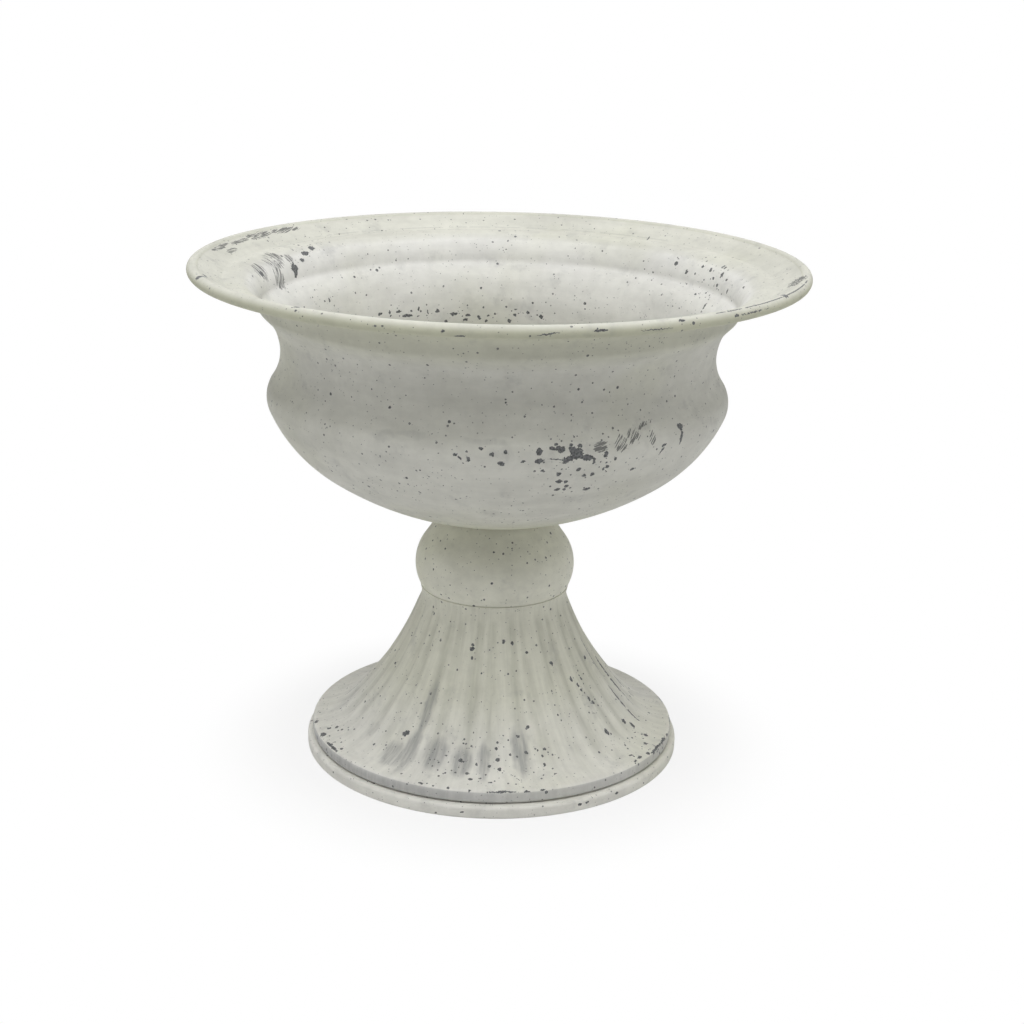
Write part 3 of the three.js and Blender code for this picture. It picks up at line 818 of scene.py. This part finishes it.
def worn_paint(name, outline, tone, painted_light_tone, paint, wear, streaks, shaded_grooves=False):
    """Chalk paint with specks, chips down to dark metal, hair lines and rubbed patches.

    The painted light tone is laid where the mesh's painted light layer is below zero: it is
    painted light inside the bowl and painted shade on the rim of the pedestal's disc.
    """
    finish = Finish(name, outline.points)
    fine = finish.shaken(0.8, 0.55)
    torn = finish.shaken(1.2, 1.5)
    painted_light_and_yellowing = finish.attribute("painted_light_and_yellowing", "Fac")
    # Painted light: below zero the layer swaps in the painted light tone, lighter inside the bowl
    # and darker on the rim of the pedestal's disc.
    tone = finish.blend(finish.fade(painted_light_and_yellowing, 0.0, -1.0), tone, painted_light_tone)
    coat = chalk_coat(finish, tone, streaks)

    # Yellow tint in random clouds, and where the layer is above zero a yellow tint that also
    # darkens: painted shade on the rolled rim's lower side, under the flange, on the bowl's
    # bottom and up the pedestal's neck.
    yellowed_and_shaded = finish.fade(finish.noise(60, 2), 0.45, 0.7, 0.0, 0.35)
    yellowed_and_shaded = finish.most(yellowed_and_shaded, painted_light_and_yellowing)
    coat = finish.blend(yellowed_and_shaded, coat, finish.blend(1.0, coat, paint.yellowing_and_shade, "MULTIPLY"))

    # Rubbed places, where the grey undercoat shines through.
    rubbed = finish.fade(finish.noise(13, 4, 0.65), 0.54, 0.76, 0.0, 0.24)
    drum = finish.attribute("drum")
    # Painted shade in the flutes' grooves, broken into streaks by noise.
    if shaded_grooves:
        wiped = finish.fade(finish.noise(11, 3, 0.6, drum, (1, 1, 0.25)), 0.36, 0.66, 0.3, 1.0)
        groove = finish.math("MULTIPLY", wiped, finish.attribute("groove", "Fac"))
        coat = finish.blend(groove, coat, finish.blend(1.0, coat, paint.groove, "MULTIPLY"))
    # Smudges are rubbed grey places; on the pedestal the long smudge over the disc's edge is
    # painted shade.
    if wear.smudges:
        near = finish.nearness(wear.smudges, finish.shaken(5, 4))
        cloud = finish.fade(finish.noise(2.2, 4, 0.65, drum, (1, 1, 0.16)), 0.3, 0.66,
                            wear.haze * 0.4, wear.haze)
        smudge = finish.math("MULTIPLY", finish.fade(near, 0.36, 0.72), cloud)
        rubbed = finish.most(rubbed, smudge)
    coat = finish.blend(rubbed, coat, paint.scuff)

    # Dry-brush strokes.
    for direction, dense, spots in wear.hatching:
        near = finish.nearness(spots, torn)
        level = finish.fade(near, 0.3, 0.66, 0.86, dense)
        strokes = finish.strokes(direction, finish.place)
        stroke = finish.math("GREATER_THAN", strokes, level)
        coat = finish.blend(finish.math("MULTIPLY", stroke, 0.78), coat, paint.chip)

    # Specks: faint pin-pricks, plain specks and a few large ones.
    marks = finish.math("MULTIPLY", finish.specks(2.0, 0.34, fine), 0.6)
    marks = finish.most(marks, finish.math("MULTIPLY", finish.specks(4.0, 0.58, fine), 0.9))
    marks = finish.most(marks, finish.specks(8.7, 0.85, fine))
    if wear.scatter:
        crowd = finish.nearness(wear.scatter, finish.place)
        more = finish.most(finish.specks(4.3, 1.15, torn), finish.specks(2.9, 0.62, fine))
        more = finish.math("MULTIPLY", more, finish.math("GREATER_THAN", crowd, 0.42))
        marks = finish.most(marks, more)
    for ring in wear.rings:
        away = finish.math("ABSOLUTE", finish.math("SUBTRACT", finish.radius(fine), ring.radius))
        line = finish.math("LESS_THAN", away, ring.width / 2)
        near = finish.math("GREATER_THAN", finish.nearness([ring.window], finish.place), 0.5)
        seen = finish.fade(finish.noise(5, 3), ring.broken, ring.broken + 0.08)
        seen = finish.math("MULTIPLY", seen, ring.strength)
        line = finish.math("MULTIPLY", finish.math("MULTIPLY", line, near), seen)
        marks = finish.most(marks, line)
    if wear.cracks:
        line = finish.math("GREATER_THAN", finish.nearness(wear.cracks, torn), 0.5)
        gaps = finish.fade(finish.noise(3, 3), 0.35, 0.5)
        marks = finish.most(marks, finish.math("MULTIPLY", line, gaps))
    grain = finish.math("MULTIPLY", finish.noise(0.7, 2, 0.6), 0.5)
    height = finish.math("MULTIPLY_ADD", finish.noise(7, 1), 2.2, grain)
    if wear.chips:
        edge = finish.math("MULTIPLY_ADD", finish.noise(1.0, 2, 0.6), 0.5, 0.25)
        chips = finish.math("GREATER_THAN", finish.nearness(wear.chips, torn), edge)
        marks = finish.most(marks, chips)
        height = finish.math("MULTIPLY_ADD", chips, -1.4, height)

    bare = finish.fade(finish.noise(0.8, 2), 0.35, 0.7)
    metal = finish.blend(bare, paint.chip, [value * 2.3 for value in paint.chip])
    finish.set("Base Color", finish.blend(marks, coat, metal))
    finish.set("Roughness", finish.math("MULTIPLY_ADD", marks, -0.2, 0.72))
    finish.set("Specular IOR Level", 0.35)
    finish.bump(height, 0.1)
    return finish.material


def plain_metal(name, tone, roughness):
    """Bare or plated steel with fine drawn lines and a mottled roughness."""
    finish = Finish(name)
    cloud = finish.noise(3, 3)
    shade = finish.fade(cloud, 0.3, 0.7)
    finish.set("Base Color", finish.blend(
        shade, tone, [value * 0.72 for value in tone]))
    finish.set("Metallic", 1.0)
    finish.set("Roughness", finish.fade(cloud, 0.2, 0.8, roughness - 0.08, roughness + 0.12))
    finish.bump(finish.noise(0.25, 2, stretch=(1, 1, 0.15)), 0.02)
    return finish.material


def seal_rubber():
    """Matt black rubber, greyed by dust."""
    finish = Finish("seal_rubber")
    dust = finish.fade(finish.noise(2.5, 4, 0.6), 0.45, 0.75, 0.0, 0.35)
    finish.set("Base Color", finish.blend(dust, (0.018, 0.018, 0.017), (0.12, 0.118, 0.11)))
    finish.set("Roughness", 0.85)
    finish.bump(finish.noise(0.6, 2), 0.05)
    return finish.material


# ---------------------------------------------------------------- the pieces

class URN_OT_bowl(bpy.types.Operator):
    """Spin the bowl with its rolled rim, and lay the wire in the roll."""

    bl_idname = "urn.bowl"
    bl_label = "Bowl"

    roll_radius = 135.0
    flange_radii = (103.0, 136.0)
    belly_top = 200.0
    throat_height = 211.0
    cove_height = 227.2
    bottom_height = 136.0

    def painted_light_and_yellowing(self, point, outside):
        """A yellow tint that darkens the lower side of the rolled rim, the underside of the
        flange and
        the bottom: painted shade as well as paint gone yellow.

        Below zero stands for the lighter paint inside the bowl, painted light that is lightest
        from the throat up to the cove.
        """
        on_roll = point.x > self.roll_radius
        rolled = min(1.0, (235.2 - point.y) / 3.0) if on_roll else 0.0
        if outside:
            start, end = self.flange_radii
            under = point.y > self.belly_top and point.x < end
            flange = min(0.9, (point.x - start) / 13.0) if under else 0.0
            return max(0.0, rolled, flange, min(0.9, (self.bottom_height - point.y) / 14.0))
        if on_roll:
            return max(rolled, 0.2)
        if point.y > self.throat_height:
            return 0.15 - min(1.0, max(0.0, (self.cove_height - point.y) / 3.0))
        return -0.6

    def execute(self, context):
        sizes = context.scene.urn_sizes
        paint = context.scene.urn_paint
        outline = bowl_outline(sizes).arc(
            curl_radius(sizes), CURL_START_ANGLE, CURL_START_ANGLE - CURL_SWEEP_ANGLE, 12)
        shape = turned(sheet_outline(outline, sizes.sheet / MM), 224, painted_light_and_yellowing=self.painted_light_and_yellowing)
        ease_corners(shape, 0.25)
        coat = worn_paint("bowl_paint", outline, paint.bowl, paint.inside, paint, BOWL_WEAR,
                          streaks=(0.3, 0.3, 1.6))
        finished(shape, "bowl", coat, "bowl_shell")

        centre = wire_centre(sizes)
        half = sizes.wire_diameter / MM / 2
        section = [centre + half * Vector((math.cos(turn), math.sin(turn)))
                   for turn in (math.tau * step / 16 for step in range(16))]
        finished(turned(section, 192), "wire_in_rim",
                 plain_metal("drawn_wire", (0.36, 0.35, 0.33), 0.42), "rim_wire")
        return {"FINISHED"}


class URN_OT_collar(bpy.types.Operator):
    """Spin the hollow collar between the bowl and the pedestal."""

    bl_idname = "urn.collar"
    bl_label = "Collar"

    def execute(self, context):
        sizes = context.scene.urn_sizes
        paint = context.scene.urn_paint
        outline = collar_outline(sizes)
        seat = outline.end.x - COLLAR_SEAT_WIDTH
        outline.to(seat, PAD_BOTTOM - SEAT_GAP + floor_rise(seat), 3)
        shape = turned(sheet_outline(outline, COLLAR_SHEET), 144)
        ease_corners(shape, 0.25)
        coat = worn_paint("collar_paint", outline, paint.warm_and_lit, paint.warm_and_lit, paint, Wear(),
                          streaks=(0.4, 0.4, 1.6))
        finished(shape, "turned_collar", coat, "collar")
        return {"FINISHED"}


class URN_OT_pedestal(bpy.types.Operator):
    """Spin the trumpet pedestal and press its flutes."""

    bl_idname = "urn.pedestal"
    bl_label = "Pedestal"

    columns_per_flute = 22

    def painted_light_and_yellowing(self, point, outside):
        """Painted shade and yellow tint up the neck; below zero, painted shade on the disc's rim.
        """
        edge = RING_TOP + HEM_ROUND + DISC_EDGE_FLAT + DISC_EDGE_ROUND * 0.4
        if point.y < edge:
            return -1.0
        return max(0.0, min(0.55, (point.y - 20.0) / 40.0))

    def lift(self, sizes, share):
        """How far the sheet is pressed out at a share of the pitch from the nearest rib."""
        return (sizes.rib_lift * hump(share, 0, 0.075)
                - sizes.groove_depth * hump(share, GROOVE_SHARE, 0.085)
                + sizes.crown_lift * hump(share, 0.5, 0.2))

    def strength(self, height):
        """Flutes fade out at the disc's edge and below the lip."""
        disc_top = RING_TOP + HEM_ROUND + DISC_EDGE_FLAT + DISC_EDGE_ROUND
        above = (height - disc_top - FLUTE_FOOT) / FLUTE_FADE
        below = (PEDESTAL_TOP - LIP_HEIGHT - height) / FLUTE_FADE
        amount = max(0.0, min(1.0, above, below))
        return amount * amount * (3 - 2 * amount)

    def execute(self, context):
        sizes = context.scene.urn_sizes
        paint = context.scene.urn_paint
        outline = pedestal_outline(sizes).to(HOLE_RADIUS, PEDESTAL_TOP, 4)
        normals = left_normals(outline.points)
        pushes = [-normal * self.strength(point.y)
                  for point, normal in zip(outline.points, normals)]
        pushes += pushes[::-1]
        shape = turned(sheet_outline(outline, sizes.sheet / MM),
                       sizes.flutes * self.columns_per_flute, pushes=pushes, painted_light_and_yellowing=self.painted_light_and_yellowing)
        push = shape.verts.layers.float_vector["push"]
        groove = shape.verts.layers.float.new("groove")
        press = Random(7)
        uneven = [press.uniform(0.75, 1.2) for _ in range(sizes.flutes)]
        pitch = math.tau / sizes.flutes
        for corner in shape.verts:
            radius = math.hypot(corner.co.x, corner.co.y)
            bearing = math.atan2(corner.co.x, -corner.co.y)
            turns = (bearing - sizes.flute_bearing) / pitch
            share = turns - round(turns)
            amount = self.lift(sizes, share) * uneven[round(turns) % sizes.flutes]
            grown = radius + amount * corner[push].x
            corner.co.x *= grown / radius
            corner.co.y *= grown / radius
            corner.co.z += amount * corner[push].y
            # The groove layer marks where the grooves get painted shade.
            corner[groove] = corner[push].length * hump(share, GROOVE_SHARE + 0.01, 0.13)
        ease_corners(shape, 0.18, sharper_than=40)
        coat = worn_paint("pedestal_paint", outline, paint.pedestal, paint.shaded_disc_edge, paint,
                          PEDESTAL_WEAR, streaks=(3, 3, 0.5), shaded_grooves=True)
        finished(shape, "fluted_pedestal", coat, "pedestal_skirt")
        return {"FINISHED"}


class URN_OT_base_ring(bpy.types.Operator):
    """Roll the stepped ring that the pedestal stands on."""

    bl_idname = "urn.base_ring"
    bl_label = "Base ring"

    def execute(self, context):
        sizes = context.scene.urn_sizes
        paint = context.scene.urn_paint
        outline = base_ring_outline(sizes)
        shape = turned(sheet_outline(outline, sizes.sheet / MM), 224)
        ease_corners(shape, 0.2)
        coat = worn_paint("ring_paint", outline, paint.ring, paint.ring, paint, RING_WEAR,
                          streaks=(0.5, 0.5, 2))
        finished(shape, "stepped_ring", coat, "base_ring")
        return {"FINISHED"}


class URN_OT_fastening(bpy.types.Operator):
    """Make the bolt on the axis with its washers and nut."""

    bl_idname = "urn.fastening"
    bl_label = "Bolt, washers and nut"

    def washer_section(self, node):
        """Section of a washer as wide and thick as its node, round the bolt's hole."""
        low, high = (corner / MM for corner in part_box(node))
        return [Vector((HOLE_RADIUS, low.z)), Vector((high.x, low.z)),
                Vector((high.x, high.z)), Vector((HOLE_RADIUS, high.z))]

    def flat_ring(self, name, node, material, slot):
        shape = turned(self.washer_section(node), 96)
        ease_corners(shape, 0.15)
        finished(shape, name, material, node)

    def hexagonal(self, shape, low, high):
        """Draws the widest points of a turned shape in to a hexagon with eased corners."""
        flat = BOLT_HEAD_FLATS / 2 * MM
        side = math.tau / 6
        for corner in shape.verts:
            radius = math.hypot(corner.co.x, corner.co.y)
            if radius < flat * 0.99 or not low * MM < corner.co.z < high * MM:
                continue
            turn = math.atan2(corner.co.y, corner.co.x) % side - side / 2
            edge = flat / math.cos(turn)
            corner.co.x *= edge / radius
            corner.co.y *= edge / radius

    def hex_section(self, inner, low, high):
        """Half section of a nut or head, with its chamfers."""
        flat = BOLT_HEAD_FLATS / 2
        tip = flat / math.cos(math.tau / 12)
        ease = (tip - flat) * 0.55
        return [Vector((inner, low)), Vector((flat * 0.97, low)), Vector((tip, low + ease)),
                Vector((tip, high - ease)), Vector((flat * 0.97, high)), Vector((inner, high))]

    def execute(self, context):
        zinc = plain_metal("zinc_plate", (0.56, 0.57, 0.58), 0.34)
        self.flat_ring("rubber_seal", "seal_washer", seal_rubber(), "seal_rubber")
        self.flat_ring("washer_in_bowl", "bowl_washer", zinc, "zinc_steel")
        self.flat_ring("washer_in_foot", "foot_washer", zinc, "zinc_steel")

        low, high = (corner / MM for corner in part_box("hex_nut"))
        shape = turned(self.hex_section(BOLT_RADIUS + 0.2, low.z, high.z), 96)
        self.hexagonal(shape, low.z + 0.01, high.z - 0.01)
        ease_corners(shape, 0.12)
        finished(shape, "nut_in_foot", zinc, "hex_nut")

        sweep = math.tau - math.radians(SLIT_ANGLE)
        shape = turned(self.washer_section("lock_washer"), 72, sweep=sweep)
        bmesh.ops.holes_fill(shape, edges=shape.edges, sides=4)
        ease_corners(shape, 0.12, sharper_than=40)
        finished(shape, "spring_washer", zinc, "lock_washer")

        low, high = (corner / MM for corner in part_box("tie_bolt"))
        head = high.z - BOLT_HEAD_HEIGHT
        tail = low.z
        thread_top = tail + THREAD_LENGTH
        rows = round((THREAD_LENGTH - 1) / (THREAD_PITCH / 8))
        outline = Outline(0.6, tail).to(BOLT_RADIUS - 0.6, tail).to(BOLT_RADIUS, tail + 0.6)
        outline.to(BOLT_RADIUS, thread_top, rows).to(BOLT_RADIUS, head)
        outline.points += self.hex_section(0.6, head, high.z)[1:]
        shape = turned(outline.points, 96)
        rim = [edge for edge in shape.edges if edge.is_boundary]
        bmesh.ops.holes_fill(shape, edges=rim, sides=0)
        self.hexagonal(shape, head + 0.01, high.z - 0.01)
        for corner in shape.verts:
            radius = math.hypot(corner.co.x, corner.co.y)
            height = corner.co.z / MM
            if abs(radius - BOLT_RADIUS * MM) < 0.01 * MM and height < thread_top:
                turn = math.atan2(corner.co.y, corner.co.x) / math.tau
                wave = abs((height / THREAD_PITCH - turn) % 1.0 * 2 - 1)
                run_out = min(1.0, (thread_top - height) / THREAD_PITCH)
                cut = 1 - THREAD_DEPTH * run_out * wave * MM / radius
                corner.co.x *= cut
                corner.co.y *= cut
        finished(shape, "bolt_on_axis", zinc, "tie_bolt")
        return {"FINISHED"}


# ---------------------------------------------------------------- stage

def lamp(name, place, target, width, power):
    """A broad soft lamp that looks at a target."""
    light = bpy.data.lights.new(name, "AREA")
    light.size = width
    light.energy = power
    holder = bpy.data.objects.new(name, light)
    direction = Vector(target) - Vector(place)
    holder.rotation_euler = direction.to_track_quat("-Z", "Y").to_euler()
    holder.location = place
    bpy.context.scene.collection.objects.link(holder)


class URN_OT_stage(bpy.types.Operator):
    """Set the camera, the pale floor, the sky and the soft lamps."""

    bl_idname = "urn.stage"
    bl_label = "Stage"

    # the floor turns white between two distances from the axis, from one share to another
    blending = (0.088, 0.15, 0.80, 1.0)
    target = (0, 0, 0.15)

    def camera(self, stage):
        data = bpy.data.cameras.new("view")
        data.sensor_width = 36.0
        data.lens = stage.lens
        data.clip_start = 0.05
        holder = bpy.data.objects.new("view", data)
        look = (Matrix.Rotation(-stage.turn, 4, "Z")
                @ Matrix.Rotation(math.pi / 2 - stage.tilt, 4, "X")
                @ Matrix.Rotation(stage.roll, 4, "Z"))
        holder.matrix_world = Matrix.Translation((0, -stage.distance, stage.height)) @ look
        bpy.context.scene.collection.objects.link(holder)
        bpy.context.scene.camera = holder

    def floor(self, stage):
        shape = bmesh.new()
        bmesh.ops.create_circle(shape, cap_ends=True, radius=12.0, segments=96)
        mesh = bpy.data.meshes.new("floor")
        shape.to_mesh(mesh)
        shape.free()
        finish = Finish("pale_floor")
        finish.set("Base Color", colour(stage.floor))
        finish.set("Roughness", 0.9)
        path = finish.add("ShaderNodeLightPath")
        seen = finish.most(path.outputs["Is Camera Ray"], path.outputs["Is Glossy Ray"],
                           path.outputs["Is Transmission Ray"])
        away = finish.add("ShaderNodeVectorMath", operation="LENGTH")
        finish.plug(away.inputs[0], finish.place)
        whiter = finish.fade(away.outputs["Value"], *self.blending)
        far = finish.math("MULTIPLY", seen, whiter)
        white = finish.add("ShaderNodeEmission")
        mixed = finish.add("ShaderNodeMixShader")
        finish.plug(mixed.inputs[0], far)
        finish.plug(mixed.inputs[1], finish.shader.outputs["BSDF"])
        finish.plug(mixed.inputs[2], white.outputs[0])
        finish.plug(finish.output.inputs["Surface"], mixed.outputs[0])
        mesh.materials.append(finish.material)
        floor = bpy.data.objects.new("floor", mesh)
        bpy.context.scene.collection.objects.link(floor)

    def sky(self, stage):
        """White to the camera and in reflections, and a soft light on everything else."""
        world = bpy.data.worlds.new("white_room")
        bpy.context.scene.world = world
        world.use_nodes = True
        nodes = world.node_tree.nodes
        links = world.node_tree.links
        nodes.clear()
        path = nodes.new("ShaderNodeLightPath")
        seen = path.outputs["Is Camera Ray"]
        for ray in ("Is Glossy Ray", "Is Transmission Ray"):
            most = nodes.new("ShaderNodeMath")
            most.operation = "MAXIMUM"
            links.new(seen, most.inputs[0])
            links.new(path.outputs[ray], most.inputs[1])
            seen = most.outputs[0]
        strength = nodes.new("ShaderNodeMapRange")
        strength.inputs["To Min"].default_value = stage.sky
        background = nodes.new("ShaderNodeBackground")
        background.inputs["Color"].default_value = colour((1.0, 1.0, 1.0))
        output = nodes.new("ShaderNodeOutputWorld")
        links.new(seen, strength.inputs["Value"])
        links.new(strength.outputs["Result"], background.inputs["Strength"])
        links.new(background.outputs[0], output.inputs["Surface"])

    def execute(self, context):
        stage = context.scene.urn_stage
        self.camera(stage)
        self.floor(stage)
        self.sky(stage)
        lamp("overhead", (0, 0.15, 1.5), self.target, 1.5, stage.top_light)
        lamp("front", (0, -0.9, 1.52), self.target, 0.9, stage.front_light)
        lamp("left", (-1.3, -0.1, 0.75), self.target, 0.8, stage.side_light)
        lamp("right", (1.3, -0.1, 0.75), self.target, 0.8, stage.side_light)
        context.scene.view_settings.view_transform = "Standard"
        return {"FINISHED"}


class URN_PT_panel(bpy.types.Panel):
    """Lists the urn's pieces and what can be changed on them."""

    bl_idname = "URN_PT_panel"
    bl_label = "Worn painted urn"
    bl_space_type = "VIEW_3D"
    bl_region_type = "UI"
    bl_category = "Urn"

    def draw(self, context):
        for operator in OPERATORS:
            self.layout.operator(operator.bl_idname)
        for group in ("urn_sizes", "urn_paint", "urn_stage"):
            settings = getattr(context.scene, group)
            box = self.layout.box()
            for name in settings.__annotations__:
                box.prop(settings, name)


OPERATORS = (URN_OT_stage, URN_OT_bowl, URN_OT_collar, URN_OT_pedestal, URN_OT_base_ring,
             URN_OT_fastening)
GROUPS = {"urn_sizes": UrnSizes, "urn_paint": UrnPaint, "urn_stage": UrnStage}


def register():
    for cls in (*GROUPS.values(), *OPERATORS, URN_PT_panel):
        bpy.utils.register_class(cls)
    for name, group in GROUPS.items():
        setattr(bpy.types.Scene, name, bpy.props.PointerProperty(type=group))


def unregister():
    for name in GROUPS:
        delattr(bpy.types.Scene, name)
    for cls in reversed((*GROUPS.values(), *OPERATORS, URN_PT_panel)):
        bpy.utils.unregister_class(cls)


def main():
    register()
    bpy.ops.urn.stage()
    bpy.ops.urn.bowl()
    bpy.ops.urn.collar()
    bpy.ops.urn.pedestal()
    bpy.ops.urn.base_ring()
    bpy.ops.urn.fastening()


if __name__ == "__main__":
    main()
